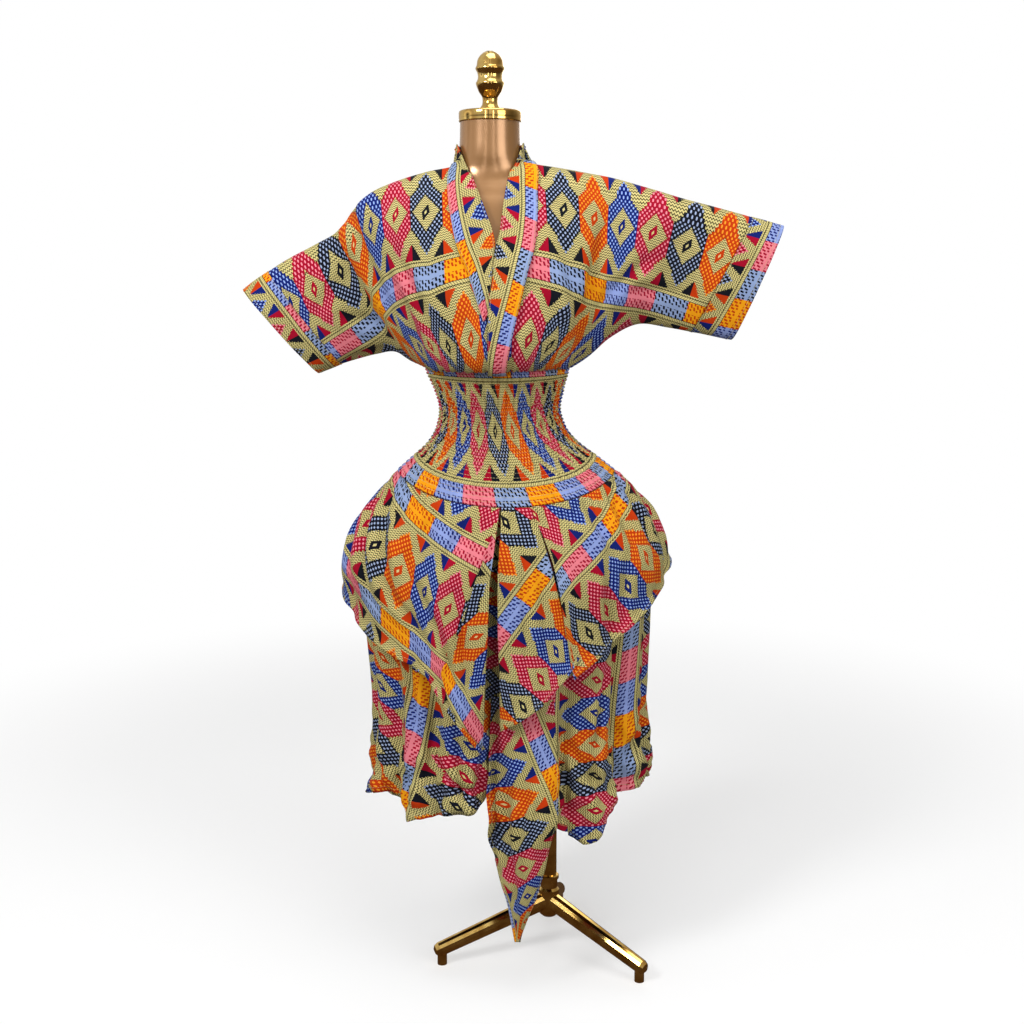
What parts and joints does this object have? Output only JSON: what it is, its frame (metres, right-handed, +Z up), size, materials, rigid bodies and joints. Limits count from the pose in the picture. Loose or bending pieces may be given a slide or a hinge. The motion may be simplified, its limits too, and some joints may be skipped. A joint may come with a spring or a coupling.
{
  "type": "handkerchief dress on a limbless dress form with a tripod stand",
  "caption": "Wrap-neck dress with batwing sleeves, a shirred waist and a layered handkerchief skirt, shown on a limbless dress form on a tripod stand.",
  "frame": {"origin": "bottom centre of the whole, on the floor", "axes": "+Z up, the dress's front faces -Y, +X is the viewer's right from the front"},
  "size_m": [0.926, 0.4182, 1.5805],
  "materials": {
    "printed_cotton": "woven cotton with a wax print",
    "form_bronze": "moulded, bronze-brown gloss",
    "polished_brass": "polished"
  },
  "bodies": {
    "root": {"bodice_front_left": "printed_cotton", "bodice_front_right": "printed_cotton", "bodice_back": "printed_cotton", "neck_band_left": "printed_cotton", "neck_band_right": "printed_cotton", "collar_band": "printed_cotton", "cuff_left": "printed_cotton", "cuff_right": "printed_cotton", "waist_panel": "printed_cotton", "underskirt": "printed_cotton", "front_point": "printed_cotton", "overskirt_left": "printed_cotton", "overskirt_right": "printed_cotton", "overskirt_inset": "printed_cotton", "dress_form": "form_bronze", "neck_cap": "polished_brass", "finial": "polished_brass", "stand_pole": "polished_brass", "stand_base": "polished_brass"}
  },
  "joints": []
}
